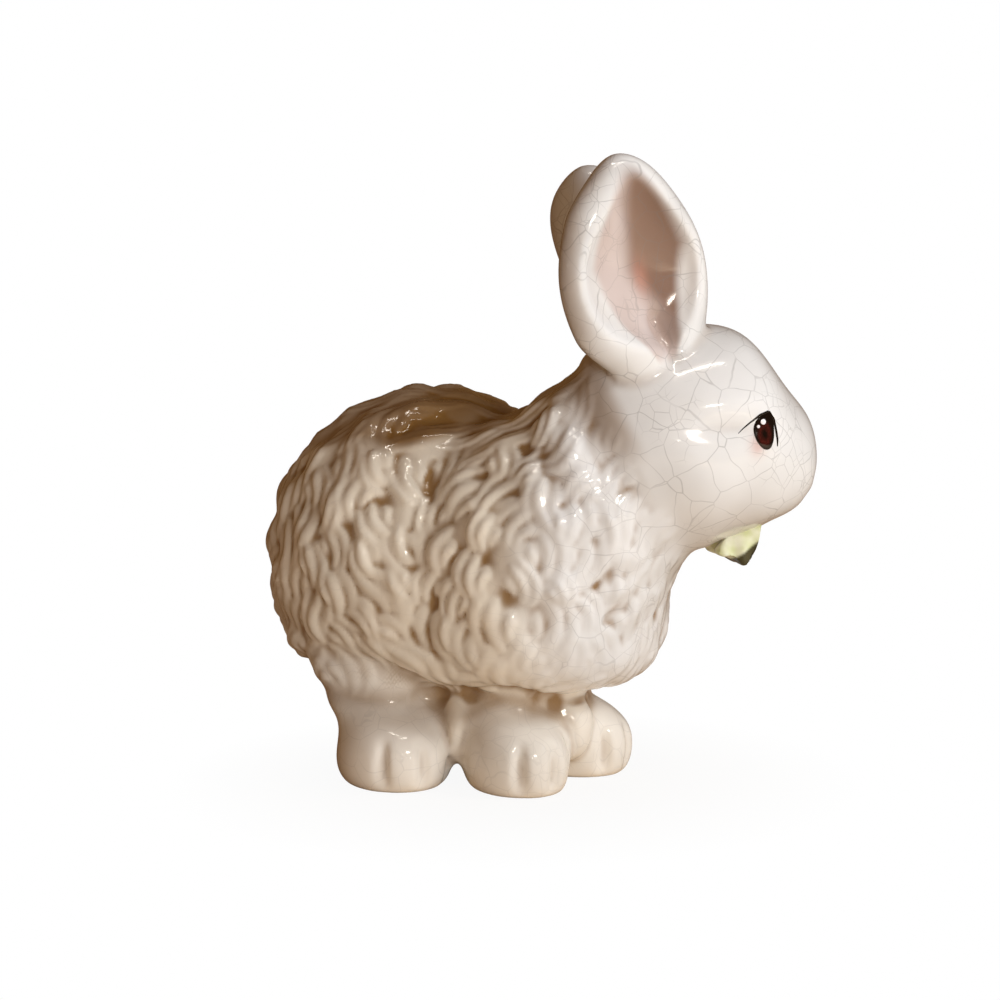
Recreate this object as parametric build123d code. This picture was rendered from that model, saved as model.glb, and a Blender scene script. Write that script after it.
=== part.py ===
from build123d import *
import os
from math import atan2, cos, exp, floor, pi, radians, sin

# Slip-cast rabbit figurine: hollow trunk and head, with ears, paws, tail and leaf cast apart and stuck on.
# Millimetres and degrees. +X is the way the trunk faces, +Y is the rabbit's left, +Z is up.
# The soles lie on Z = 0, and the origin is the middle of the figurine's box on that plane.

# Casting
wall = 5.0  # thickness that the slip leaves in the mould
vent_radius = 7.0  # air hole in the belly
vent_x = -18.0
film = 0.4  # raised enamel of a painted eye
seat_clearance = 0.05  # slip between the trunk and the ears that reach over its collar

# Trunk, from the rump to the shoulder: places and half sizes of its cross-sections
rump_x = -109.0
rump_z = 79.0
belly_z = 27.0
haunch_x = -45.0
haunch_half_width = 57.0
haunch_top_z = 140.5
loin_x = -14.0
loin_half_width = 53.0
loin_top_z = 132.0
loin_lean = 6.0
shoulder_x = 14.0
shoulder_z = 85.0
shoulder_half_width = 48.0
shoulder_half_height = 51.0
shoulder_lean = 20.0
body_fullness = 2.15  # 2 is an ellipse, more is squarer

# Forms modelled on the trunk
haunch_swell = 2.4  # how far each haunch stands out
haunch_groove_depth = 3.6
haunch_groove_x = -13.0
haunch_groove_width = 7.0

# Coat of curled locks that hang from the spine
lock_width = 14.0
lock_length = 30.0
lock_height = 3.6
lock_bend = 6.0  # how far a lock's curl swings it to one side
lock_sink = 0.5  # share of the height that lies under the trunk's own surface
coat_hem_z = 42.0  # under this the belly is smooth
coat_fade = 14.0  # over this length the locks run out to a smooth surface
rings_along = 64  # how finely the coat is modelled
points_around = 64

# Collar, the flat joint between the trunk and the head
collar_x = 36.0
collar_y = 8.0
collar_z = 118.0
collar_half_width = 36.0
collar_half_height = 39.0
collar_lean = 28.0
collar_turn = 30.0
throat_radius = 20.0  # passage between the two hollow castings
cheek_fold_depth = 2.4  # fold behind the cheeks, just before the collar
cheek_fold_width = 6.5

# Head, turned to the rabbit's left, with its middle measured from the collar's
head_ahead = 22.0
head_aside = 16.0
head_up = 4.5
head_turn = 46.0
skull_half_width = 33.0
skull_half_height = 37.5
muzzle_reach = 34.5  # from the head's middle to the nose
muzzle_half_width = 20.0
muzzle_drop = 5.0  # the nose lies this far under the head's middle

# Eyes
eye_height = 15.0
eye_width = 9.0
eye_up = 5.3
eye_facing = 74.0  # from straight ahead

# Ears
ear_length = 74.0
ear_half_width = 26.5
ear_half_depth = 10.0
ear_stem_half_width = 15.0
ear_rim = 4.0
ear_hollow_depth = 12.5
ear_back = 25.5
ear_side = 15.0
ear_seat_z = 24.0
ear_lean_back = 13.5
ear_splay = 8.0
ear_facing = 68.0  # opening, from straight ahead to the side

# Paws
front_paw_x = 2.5
front_paw_side = 18.5
front_paw_length = 42.0
front_paw_width = 35.0
front_toe_out = 14.0
rear_paw_x = -39.0
rear_paw_side = 35.0
rear_paw_length = 46.0
rear_paw_width = 40.0
rear_toe_out = 24.0
paw_height = 30.0  # top of the paw proper, where the leg begins
leg_height = 46.0
hock_swell = 14.0  # how far the rear leg swells over its heel
toe_grooves = 3
toe_fan = 84.0  # spread of the toe grooves
toe_groove_radius = 3.0
toe_groove_height = 22.0
toe_groove_lean = 4.0

# Low belly that joins the paws
base_x = -17.0
base_z = 8.0
base_half_length = 33.0
base_half_width = 30.0

# Tail
tail_length = 26.0
tail_width = 34.0
tail_height = 38.0
tail_z = 54.0
tail_seat = 9.0  # how far the tail's middle lies ahead of the rump's end

# Leaf in the mouth
leaf_half_width = 12.0
leaf_reach = 18.5
leaf_back = -5.0
leaf_root_drop = 28.0
leaf_drop = 44.5


def cross_section(x, z, half_width, half_height, lean=0.0, turn=0.0, y=0.0, fullness=2.0):
    """Upright oval that faces along the trunk, leaned back and turned to the left."""
    flat = cos(radians(lean))
    ahead = (flat * cos(radians(turn)), flat * sin(radians(turn)), sin(radians(lean)))
    across = (-sin(radians(turn)), cos(radians(turn)), 0)
    points = []
    for step in range(16):
        across_part = cos(step * pi / 8)
        up_part = sin(step * pi / 8)
        swell = (abs(across_part) ** fullness + abs(up_part) ** fullness) ** (-1 / fullness)
        points.append((half_width * across_part * swell, half_height * up_part * swell))
    outline = make_face(Spline(*points, periodic=True))
    return Plane((x, y, z), x_dir=across, z_dir=ahead) * outline


def level_section(z, half_length, half_width, x=0.0):
    """Level ellipse, for forms that are built upwards."""
    return Pos(x, 0, z) * Ellipse(half_length, half_width)


def collar_section(inset=0.0, ahead=0.0):
    """Oval of the neck joint, moved along the neck."""
    flat = cos(radians(collar_lean))
    return cross_section(
        collar_x + ahead * flat * cos(radians(collar_turn)),
        collar_z + ahead * sin(radians(collar_lean)),
        collar_half_width - inset,
        collar_half_height - inset,
        collar_lean,
        collar_turn,
        collar_y + ahead * flat * sin(radians(collar_turn)),
    )


def trunk_sections(inset=0.0, waist=0.0):
    """Cross-sections from the rump to the chest, drawn in for the room inside, and more so at the loin."""
    haunch_half_height = (haunch_top_z - belly_z) / 2
    loin_half_height = (loin_top_z - belly_z) / 2
    rump_length = haunch_x - rump_x
    sections = [Vertex(rump_x + inset, 0, rump_z)]
    for along, swell in ((0.05, 0.32), (0.19, 0.62), (0.44, 0.87)):
        sections.append(
            cross_section(
                rump_x + along * rump_length + (1 - swell) * inset,
                rump_z,
                swell * haunch_half_width - inset,
                swell * haunch_half_height - inset,
                fullness=2 + (body_fullness - 2) * swell,
            )
        )
    sections += [
        cross_section(
            haunch_x,
            belly_z + haunch_half_height,
            haunch_half_width - inset,
            haunch_half_height - inset,
            fullness=body_fullness,
        ),
        cross_section(
            loin_x,
            belly_z + loin_half_height,
            loin_half_width - inset - waist,
            loin_half_height - inset,
            loin_lean,
            fullness=body_fullness,
        ),
        cross_section(
            shoulder_x,
            shoulder_z,
            shoulder_half_width - inset,
            shoulder_half_height - inset,
            shoulder_lean,
        ),
        cross_section(
            (shoulder_x + collar_x) / 2,
            (shoulder_z + collar_z) / 2,
            (shoulder_half_width + collar_half_width) / 2 - inset,
            0.945 * (shoulder_half_height + collar_half_height) / 2 - inset,
            collar_lean,
            collar_turn / 2,
            collar_y / 2,
        ),
    ]
    return sections


def head_sections(inset=0.0):
    """Cross-sections from the back of the skull to the nose, as shares of the head's own sizes."""
    half_width, half_height = skull_half_width, skull_half_height
    sections = [
        cross_section(
            -0.4 * muzzle_reach,
            0,
            1.09 * half_width - inset,
            1.04 * half_height - inset,
            collar_lean / 2,
            (collar_turn - head_turn) / 2,
            0.06 * half_width,
        ),
        cross_section(0, 0.05 * half_height, half_width - inset, half_height - inset),
    ]
    for ahead, drop, wide, high in (
        (0.305, 0.04, 0.955 * half_width, 0.905),
        (0.565, 0.76, 1.3 * muzzle_half_width, 0.70),
        (0.768, 1.0, muzzle_half_width, 0.505),
        (0.922, 1.0, 0.575 * muzzle_half_width, 0.295),
    ):
        sections.append(
            cross_section(
                ahead * muzzle_reach,
                -drop * muzzle_drop,
                wide - inset,
                high * half_height - inset,
            )
        )
    sections.append(Vertex(muzzle_reach - inset, 0, -muzzle_drop))
    return [head_place() * section for section in sections]


def whole_form(inset=0.0):
    """Trunk, neck and head as one smooth form."""
    return loft([*trunk_sections(inset), collar_section(inset), *head_sections(inset)])


def fade(value, low, high):
    """Smooth rise from 0 at one value to 1 at another."""
    share = min(max((value - low) / (high - low), 0), 1)
    return share * share * (3 - 2 * share)


def mound(spot, middle, reach):
    """Height of a rounded mound, 1 at its middle."""
    return exp(-sum(((at - centre) / size) ** 2 for at, centre, size in zip(spot, middle, reach)))


def lock_share(x, down):
    """Height of the curled locks, from 0 to 1, at a place on the trunk and a length down from the spine."""
    highest = 0.0
    nearest = floor(x / lock_width)
    for column in (nearest - 1, nearest, nearest + 1):
        rows = down / lock_length + 0.5 * (column % 2)
        row = floor(rows)
        along = rows - row
        curl = lock_bend * sin(2.4 * column + 1.3 * row) * (4 * (along - 0.5) ** 2 - 0.5)
        aside = (x - (column + 0.5) * lock_width - curl) / (0.62 * lock_width)
        highest = max(highest, max(0.0, 1 - aside * aside) * sin(pi * along**0.8) ** 0.8)
    return highest


def trunk_rise(spot, past_collar):
    """Haunches, the grooves before them, the fold behind the cheeks and the coat."""
    aside = abs(spot.Y)
    middle_z = (haunch_top_z + belly_z) / 2
    haunch_reach = (0.35 * haunch_half_width, 0.38 * haunch_half_width, 0.67 * haunch_half_width)
    rise = haunch_swell * mound((spot.X, aside, spot.Z), (haunch_x, 0.88 * haunch_half_width, middle_z), haunch_reach)
    flank = fade(aside, 0.45 * loin_half_width, 0.83 * loin_half_width)
    upright = fade(spot.Z, coat_hem_z, coat_hem_z + coat_fade) * fade(loin_top_z - spot.Z, 0, coat_fade)
    across_groove = (spot.X - haunch_groove_x) / haunch_groove_width
    rise -= haunch_groove_depth * flank * upright * exp(-(across_groove**2))
    across_fold = (past_collar + cheek_fold_width) / cheek_fold_width
    fold = exp(-(across_fold**2)) * fade(-past_collar, 0, cheek_fold_width / 2)
    rise -= cheek_fold_depth * fold * fade(spot.Z, shoulder_z, collar_z)
    down = (pi / 2 - atan2(spot.Z - middle_z, aside)) * (haunch_half_width + middle_z - belly_z) / 2
    cover = fade(spot.Z, coat_hem_z, coat_hem_z + coat_fade)
    cover *= fade(-past_collar, coat_fade / 2, 1.5 * coat_fade) * fade(spot.X, rump_x, rump_x + coat_fade)
    return rise + lock_height * cover * (lock_share(spot.X, down) - lock_sink)


def furred_form():
    """The whole form with its haunches and the locks of its coat modelled on it."""
    skin = whole_form().faces()[0]
    joint = Plane(collar_section().face())
    knots = [step / points_around for step in range(points_around + 1)]
    rings = []
    for ring in range(1, rings_along):
        points = []
        for around in knots[:-1]:
            spot = skin.position_at(around, ring / rings_along)
            rise = trunk_rise(spot, (spot - joint.origin).dot(joint.z_dir)) - seat_clearance
            points.append(spot + skin.normal_at(around, ring / rings_along) * rise)
        rings.append(Wire([Edge.make_spline(points, periodic=True, parameters=knots)]))
    rump, nose = (Vertex(*skin.position_at(0, end)) for end in (0, 1))
    return Solid.make_loft([rump, *rings, nose])


def trunk_room():
    """Room inside the trunk's wall, closed short of the collar."""
    inset = wall + lock_sink * lock_height
    return loft([*trunk_sections(inset, haunch_groove_depth), collar_section(inset, -inset)])


def skull_room():
    """Room inside the head, which leaves the muzzle thick."""
    radius = min(skull_half_width, skull_half_height) - wall
    return head_place() * Pos(-radius / 5, 0, 0) * Sphere(radius)


def head_place():
    """Middle of the head, turned to the rabbit's left."""
    return Pos(collar_x + head_ahead, collar_y + head_aside, collar_z + head_up) * Rot(Z=head_turn)


def ear_form():
    """Right ear standing on its stem, with the hollow opening to +X."""
    outline = [
        level_section(-0.14 * ear_length, 0.8 * ear_half_depth, 0.87 * ear_stem_half_width),
        level_section(0.08 * ear_length, 0.9 * ear_half_depth, 1.27 * ear_stem_half_width),
    ]
    for up, deep, wide in (
        (0.20, 1.0, 0.89),
        (0.38, 1.1, 1.0),
        (0.52, 1.1, 0.99),
        (0.68, 1.0, 0.85),
        (0.84, 0.85, 0.60),
        (0.95, 0.6, 0.32),
    ):
        outline.append(level_section(up * ear_length, deep * ear_half_depth, wide * ear_half_width))
    outline.append(Vertex(0, 0, ear_length))
    mouth = 1.15 * ear_half_depth
    brim = ear_half_width - ear_rim
    hollow = [Vertex(mouth, 0, 0.06 * ear_length)]
    for up, deep, wide in (
        (0.18, 0.6, 0.51),
        (0.36, 1.0, 0.95),
        (0.52, 1.0, 1.0),
        (0.68, 0.84, 0.74),
        (0.80, 0.6, 0.46),
    ):
        hollow.append(level_section(up * ear_length, deep * ear_hollow_depth, wide * brim, mouth))
    hollow.append(Vertex(mouth, 0, ear_length - ear_rim))
    return loft(outline) - loft(hollow)


def paw_form(length, width, swell=0.0):
    """Paw facing +X with a flat sole, toe grooves and the foot of the leg above it."""
    half_length, half_width = length / 2, width / 2

    def shin_section(z, share):
        return level_section(
            z,
            (0.90 - 0.26 * share) * half_length + share * swell,
            (0.94 - 0.10 * share) * half_width + share * swell / 2,
            -share * (0.26 * half_length + swell),
        )

    paw = loft(
        [
            level_section(0, 0.78 * half_length, 0.76 * half_width),
            level_section(0.1 * paw_height, 0.93 * half_length, 0.92 * half_width),
            level_section(0.3 * paw_height, half_length, half_width),
            level_section(0.63 * paw_height, 0.93 * half_length, 0.97 * half_width),
            shin_section(paw_height, 0.5),
            shin_section((paw_height + leg_height) / 2, 0.75),
            shin_section(leg_height, 1.0),
        ]
    )
    groove = Cone(
        toe_groove_radius,
        0.45 * toe_groove_radius,
        toe_groove_height,
        align=(Align.CENTER, Align.CENTER, Align.MIN),
    )
    for step in range(toe_grooves):
        turn = toe_fan * (step / (toe_grooves - 1) - 0.5)
        ahead, aside = half_length * cos(radians(turn)), half_width * sin(radians(turn))
        toe_gap = Pos(ahead, aside, -toe_groove_radius / 2)
        paw -= toe_gap * Rot(Z=turn) * Rot(Y=-toe_groove_lean) * groove
    return paw


def base_form():
    """Low belly between the paws, which stands clear of the table."""
    rise = belly_z + 2 * wall - base_z
    return loft(
        [
            level_section(base_z, 0.86 * base_half_length, 0.84 * base_half_width, base_x),
            level_section(base_z + 0.2 * rise, 0.97 * base_half_length, 0.96 * base_half_width, base_x),
            level_section(base_z + 0.6 * rise, base_half_length, base_half_width, base_x),
            level_section(base_z + rise, base_half_length, base_half_width, base_x),
        ]
    )


def leaf_form():
    """Folded salad leaf that hangs from the mouth, in the head's own frame."""
    span = leaf_reach - leaf_back
    depth = leaf_drop - leaf_root_drop
    profile = []
    for along, down in (
        (1.0, 0.0),
        (0.87, 0.55),
        (0.74, 0.91),
        (0.57, 1.0),
        (0.32, 0.88),
        (0.0, 0.76),
        (0.17, 0.48),
        (0.53, -0.36),
    ):
        profile.append((leaf_back + along * span, -leaf_root_drop - down * depth))
    outline = make_face(Plane.XZ * Spline(*profile, periodic=True))
    return extrude(outline, leaf_half_width, both=True)


def eye_form(side, whole):
    """Almond of raised enamel on one side of the face."""
    almond = extrude(Ellipse(eye_width / 2, eye_height / 2), 1.4 * skull_half_width)
    place = head_place() * Pos(0, 0, eye_up) * Rot(Z=side * eye_facing) * Rot(Y=90) * Rot(Z=90)
    return (place * almond & whole_form(-film)) - whole


def main():
    os.makedirs("parts", exist_ok=True)
    whole = whole_form()
    furred = furred_form()
    joint = Plane(collar_section().face())
    throat = joint * Cylinder(throat_radius, 6 * wall)
    vent = Pos(vent_x, 0, belly_z) * Cylinder(vent_radius, 2 * belly_z)
    base = base_form()
    trunk = split(furred, joint, Keep.BOTTOM) + base
    head = split(whole, joint, Keep.TOP)

    ear_place = Pos(-ear_back, -ear_side, ear_seat_z) * Rot(X=ear_splay) * Rot(Y=-ear_lean_back)
    ear = ear_place * Rot(Z=-ear_facing) * ear_form()
    front = Pos(front_paw_x, -front_paw_side, 0) * Rot(Z=-front_toe_out)
    front = front * paw_form(front_paw_length, front_paw_width)
    rear = Pos(rear_paw_x, -rear_paw_side, 0) * Rot(Z=-rear_toe_out)
    rear = rear * paw_form(rear_paw_length, rear_paw_width, hock_swell)
    tail = scale(Sphere(1), by=(tail_length / 2, tail_width / 2, tail_height / 2))
    nodes = {
        "body_casting": trunk - trunk_room() - throat - vent,
        "head_casting": head - skull_room() - throat,
        "right_ear": head_place() * ear - whole,
        "left_ear": head_place() * mirror(ear, about=Plane.XZ) - whole,
        "right_front_foot": front - furred - base,
        "left_front_foot": mirror(front, about=Plane.XZ) - furred - base,
        "right_rear_foot": rear - furred - base,
        "left_rear_foot": mirror(rear, about=Plane.XZ) - furred - base,
        "tail": Pos(rump_x + tail_seat, 0, tail_z) * tail - furred,
        "leaf": head_place() * leaf_form() - whole,
        "right_eye": eye_form(-1, whole),
        "left_eye": eye_form(1, whole),
    }
    boxes = [shape.bounding_box() for shape in nodes.values()]
    middle_x = (min(box.min.X for box in boxes) + max(box.max.X for box in boxes)) / 2
    middle_y = (min(box.min.Y for box in boxes) + max(box.max.Y for box in boxes)) / 2
    centred = Pos(-middle_x, -middle_y, 0)
    for name, shape in nodes.items():
        export_step(centred * shape, f"parts/{name}.step")


main()
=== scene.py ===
import math
import bmesh
import bpy
import numpy as np
from mathutils import Matrix, Vector
from mathutils.bvhtree import BVHTree


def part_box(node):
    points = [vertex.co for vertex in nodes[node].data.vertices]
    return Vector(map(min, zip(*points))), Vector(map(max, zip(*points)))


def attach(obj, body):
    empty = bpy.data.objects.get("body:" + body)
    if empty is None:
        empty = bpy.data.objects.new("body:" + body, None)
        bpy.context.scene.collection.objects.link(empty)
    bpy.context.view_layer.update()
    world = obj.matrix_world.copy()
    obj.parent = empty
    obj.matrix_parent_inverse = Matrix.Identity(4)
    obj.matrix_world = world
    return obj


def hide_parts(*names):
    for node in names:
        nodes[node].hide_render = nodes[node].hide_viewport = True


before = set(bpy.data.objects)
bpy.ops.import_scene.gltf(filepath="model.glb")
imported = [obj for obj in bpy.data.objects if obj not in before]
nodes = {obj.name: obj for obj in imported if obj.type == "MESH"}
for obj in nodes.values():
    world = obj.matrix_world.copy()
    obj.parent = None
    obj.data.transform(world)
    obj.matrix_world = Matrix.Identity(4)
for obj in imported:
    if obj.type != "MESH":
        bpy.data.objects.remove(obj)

mm = 0.001
scene = bpy.context.scene
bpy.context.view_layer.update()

head = {"middle": (69.1, 24.0, 122.5), "turn": 46.0}  # mm and degrees, as cast
collar = {"middle": (47.1, 8.0, 118.0), "lean": 28.0, "turn": 30.0}
ear = {"seat": (-25.5, -15.0, 24.0), "splay": 8.0, "leanBack": 13.5, "facing": 68.0,
       "notch": 3.4, "fold": 2.0,
       "reach": {  # mm backward, then where it starts and ends: aside, above the foot, below the tip
           "right_ear": (4.2, (3, 18), (2, 18), (56, 74)),
           "left_ear": (-11.0, (0, 13), (-4, 6), (32, 68))}}
trunk = {"x": 11.1, "partingX": -50.0}  # x is where the trunk's own zero lies


def colour(text):
    parts = [int(text[i:i + 2], 16) / 255 for i in (0, 2, 4)]
    return tuple(c / 12.92 if c <= 0.04045 else ((c + 0.055) / 1.055) ** 2.4 for c in parts) + (1.0,)


def addNode(tree, kind, inputs={}, **settings):
    made = tree.nodes.new(kind)
    for name, value in settings.items():
        setattr(made, name, value)
    for name, value in inputs.items():
        if isinstance(value, bpy.types.NodeSocket):
            tree.links.new(value, made.inputs[name])
        else:
            made.inputs[name].default_value = value
    return made


def addObject(name, mesh):
    made = bpy.data.objects.new(name, mesh)
    scene.collection.objects.link(made)
    return made


def bake(piece):
    graph = bpy.context.evaluated_depsgraph_get()
    made = bpy.data.meshes.new_from_object(piece.evaluated_get(graph))
    old = piece.data
    piece.modifiers.clear()
    piece.data = made
    bpy.data.meshes.remove(old)


def readPoints(mesh):
    points = np.empty(len(mesh.vertices) * 3)
    mesh.vertices.foreach_get("co", points)
    return points.reshape(-1, 3) / mm


def readNormals(mesh):
    normals = np.empty(len(mesh.vertices) * 3)
    mesh.vertex_normals.foreach_get("vector", normals)
    return normals.reshape(-1, 3)


def writePoints(mesh, points):
    mesh.vertices.foreach_set("co", (points * mm).ravel())
    mesh.update()


def writeAttribute(mesh, name, values):
    kind, key = ("FLOAT", "value") if values.ndim == 1 else ("FLOAT_VECTOR", "vector")
    made = mesh.attributes.get(name) or mesh.attributes.new(name, kind, "POINT")
    made.data.foreach_set(key, np.ascontiguousarray(values, dtype=np.float32).ravel())


def ramp(values, low, high):
    t = np.clip((values - low) / (high - low), 0, 1)
    return t * t * (3 - 2 * t)


def unit(vectors):
    return vectors / np.maximum(np.linalg.norm(vectors, axis=-1, keepdims=True), 1e-9)


def neighbours(mesh):
    pairs = np.empty(len(mesh.edges) * 2, dtype=np.int64)
    mesh.edges.foreach_get("vertices", pairs)
    pairs = pairs.reshape(-1, 2)
    return np.concatenate([pairs[:, 0], pairs[:, 1]]), np.concatenate([pairs[:, 1], pairs[:, 0]])


def averaged(values, ends, passes):  # values drawn to those of the points beside them
    first, second = ends
    count = np.maximum(np.bincount(first, minlength=len(values)), 1)
    for step in range(passes):
        values = np.stack([np.bincount(first, column[second], len(values)) / count for column in values.T], 1)
    return values


def turned(axis, degrees):
    return np.array(Matrix.Rotation(math.radians(degrees), 3, axis))


headTurn = turned("Z", head["turn"])
headMiddle = np.array(head["middle"])
collarAhead = turned("Z", collar["turn"]) @ turned("Y", -collar["lean"]) @ np.array([1.0, 0, 0])
earTurn = turned("X", ear["splay"]) @ turned("Y", -ear["leanBack"]) @ turned("Z", -ear["facing"])


def inHead(points):
    return (points - headMiddle) @ headTurn


def pastCollar(points):
    return (points - np.array(collar["middle"])) @ collarAhead


def inEar(points, side):  # ear upright on Z, hollow to +X
    local = inHead(points) * np.array([1, -side, 1])
    return (local - np.array(ear["seat"])) @ earTurn


def outerShell(name):  # a casting without the room inside it
    work = bmesh.new()
    work.from_mesh(nodes[name].data)
    bmesh.ops.remove_doubles(work, verts=work.verts, dist=0.01 * mm)
    tree = BVHTree.FromBMesh(work)
    inner = []
    for face in work.faces:
        start = face.calc_center_median() + face.normal * 0.05 * mm
        if tree.ray_cast(start, face.normal)[0] is not None:
            inner.append(face)
    bmesh.ops.delete(work, geom=inner, context="FACES")
    left = set(work.faces)
    islands = []
    while left:
        island, edge = set(), [left.pop()]
        while edge:
            face = edge.pop()
            island.add(face)
            for near in {f for e in face.edges for f in e.link_faces}:
                if near in left:
                    left.remove(near)
                    edge.append(near)
        islands.append(island)
    biggest = max(islands, key=len)
    bmesh.ops.delete(work, geom=[f for f in work.faces if f not in biggest], context="FACES")
    bmesh.ops.holes_fill(work, edges=work.edges, sides=0)
    made = bpy.data.meshes.new(name + "Shell")
    work.to_mesh(made)
    work.free()
    return made


furred = ["body_casting", "tail"]
rear = ["right_rear_foot", "left_rear_foot"]
castings = furred + ["head_casting", "right_ear", "left_ear", "right_front_foot", "left_front_foot"] + rear
labelOf = {name: k for k, name in enumerate(castings)}
trunkLabel = labelOf["body_casting"]
furLabels, rearLabels = [labelOf[n] for n in furred], [labelOf[n] for n in rear]


def joined(name, meshes):
    work = bmesh.new()
    for mesh in meshes:
        work.from_mesh(mesh)
    made = bpy.data.meshes.new(name)
    work.to_mesh(made)
    work.free()
    return made


print("skin")
skin = {"voxel": 1.1, "blend": 9}  # mm, and passes that round the joints
shells = {name: outerShell(name) for name in ("body_casting", "head_casting")}
solids = [shells.get(name) or nodes[name].data for name in castings]
skinPiece = addObject("skin", joined("skin", solids))
skinPiece.modifiers.new("Remesh", "REMESH").voxel_size = skin["voxel"] * mm
rounding = skinPiece.modifiers.new("Smooth", "SMOOTH")
rounding.iterations = skin["blend"]
bake(skinPiece)

trees = {}
boxes = {}
for name in castings:
    source = shells.get(name) or nodes[name].data
    work = bmesh.new()
    work.from_mesh(source)
    trees[name] = BVHTree.FromBMesh(work)
    work.free()
    low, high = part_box(name)
    boxes[name] = (np.array(low) - 9 * mm, np.array(high) + 9 * mm)


def nearestCasting(points):  # index into castings for each point
    flat = points * mm
    inside = [np.all((flat > boxes[n][0]) & (flat < boxes[n][1]), axis=1) for n in castings]
    inside = np.stack(inside, 1)
    label = np.argmax(inside, axis=1)
    for i in np.nonzero(inside.sum(1) > 1)[0]:
        spot = Vector(flat[i])
        best = 1.0
        for k in np.nonzero(inside[i])[0]:
            gap = trees[castings[k]].find_nearest(spot)[3]
            if gap is not None and gap < best:
                best = gap
                label[i] = k
    return label


print("sculpt", len(skinPiece.data.vertices))
toes = {"grooves": 3, "fan": 84.0, "depth": 0.3, "width": 1.6, "height": 20.0}
paws = {  # place, turn and half size of each sole, mm
    "right_front_foot": ((13.6, -18.5), -14.0, (21.0, 17.5)),
    "left_front_foot": ((13.6, 18.5), 14.0, (21.0, 17.5)),
    "right_rear_foot": ((-27.9, -35.0), -24.0, (23.0, 20.0)),
    "left_rear_foot": ((-27.9, 35.0), 24.0, (23.0, 20.0)),
}
hem = {"z": 32.5, "swell": 3.0, "crease": 5.0, "pawInset": 5.0, "webSwell": 4.5}  # mm
mesh = skinPiece.data
points = readPoints(mesh)
normals = readNormals(mesh)
label = nearestCasting(points)
local = inHead(points)
onHead = ramp(pastCollar(points), -4, 8)

# raised and sunk places: middle in the head's frame on its left side, reach, height
faceForms = [
    ((-6, 32, 14), (14, 14, 5), 1.4),  # brow
    ((-6, 32, 5.5), (13, 12, 3), -1.1),  # crease under the brow
    ((-8, 30, -15), (17, 16, 14), 2.2),  # cheek
    ((21, 11, -14), (9, 9, 9), 1.8),  # whisker pad
    ((25, 0, 10), (10, 6, 8), 0.6),  # bridge of the nose
    ((34, 0, -6), (6, 5, 4.5), 1.8),  # nose
    ((14, 8, -31), (13, 13, 7), -2.6),  # jaw
]
lift = np.zeros(len(points))
for middle, reach, height in faceForms:
    away = (np.stack([local[:, 0], np.abs(local[:, 1]), local[:, 2]], 1) - middle) / reach
    lift += height * np.exp(-np.sum(away * away, axis=1)) * onHead
faceGaps = [((34, 0, -12), (6, 9, 2.2), 2.4), ((31, 0, -19), (7, 10, 1.8), 1.6)]  # under the nose, lips
for middle, reach, depth in faceGaps:
    away = (local - np.array(middle)) / reach
    lift -= depth * np.exp(-np.sum(away * away, axis=1))

# folds inside the ears, the notch at the foot of each hollow, and how far each ear reaches back
shift = np.zeros(points.shape)
for sign, name in ((-1, "right_ear"), (1, "left_ear")):
    spot = inEar(points, sign)
    isEar = averaged((label == labelOf[name]).astype(float)[:, None], neighbours(mesh), 8)[:, 0]
    front = isEar * ramp(spot[:, 0], -2, 2)
    ridge = np.exp(-((spot[:, 1] + 3.0 + 0.10 * (spot[:, 2] - 36)) / 3.2) ** 2)
    lift += ear["fold"] * ridge * ramp(spot[:, 2], 12, 28) * (1 - ramp(spot[:, 2], 46, 60)) * front
    notch = np.exp(-((spot[:, 1] - 2.0) / 3.4) ** 2)
    notch *= ramp(spot[:, 2], -1, 7) * (1 - ramp(spot[:, 2], 18, 27))
    lift -= ear["notch"] * notch * front
    backward = np.array([0.0, -1.0, 0.0]) @ earTurn.T * np.array([1, -sign, 1]) @ headTurn.T
    reach, aside, foot, tip = ear["reach"][name]
    edge = isEar * ramp(-spot[:, 1], *aside) * ramp(spot[:, 2], *foot) * (1 - ramp(spot[:, 2], *tip))
    shift += backward * (reach * edge)[:, None]

# gaps between the toes, and the round top of each paw
broad = np.zeros(len(points))
for name, (place, turn, (halfLength, halfWidth)) in paws.items():
    spot = (points - np.array([*place, 0.0])) @ turned("Z", turn)
    heading = np.arctan2(spot[:, 1] / halfWidth, spot[:, 0] / halfLength)
    isPaw = label == labelOf[name]
    belowKnuckle = 1 - ramp(points[:, 2], 0.6 * toes["height"], toes["height"])
    onToes = isPaw * ramp(points[:, 2], 1, 4) * belowKnuckle
    for step in range(toes["grooves"]):
        turnTo = math.radians(toes["fan"]) * (step / (toes["grooves"] - 1) - 0.5)
        away = (heading - turnTo) * halfLength / toes["width"]
        lift -= toes["depth"] * np.exp(-away * away) * onToes
    dome = isPaw * ramp(points[:, 2], 15, hem["z"]) * ramp(spot[:, 0], -16, 2)
    broad -= hem["pawInset"] * dome

# hem of the coat over the paws, and the low belly between them
low = (label != labelOf["head_casting"]) * (1 - ramp(points[:, 2], 60, 75))
broad += (label == trunkLabel) * hem["swell"] * np.exp(-((points[:, 2] - hem["z"] - 14) / 9) ** 2)
broad -= low * hem["crease"] * np.exp(-((points[:, 2] - hem["z"]) / 3) ** 2)
underHem = (label == trunkLabel) * (1 - ramp(points[:, 2], hem["z"] - 8, hem["z"]))
broad += hem["webSwell"] * underHem * (1 - ramp(-normals[:, 2], 0.3, 0.7))
lift += averaged(broad[:, None], neighbours(mesh), 14)[:, 0]
points = points + normals * lift[:, None] + shift
writePoints(mesh, points)

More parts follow.
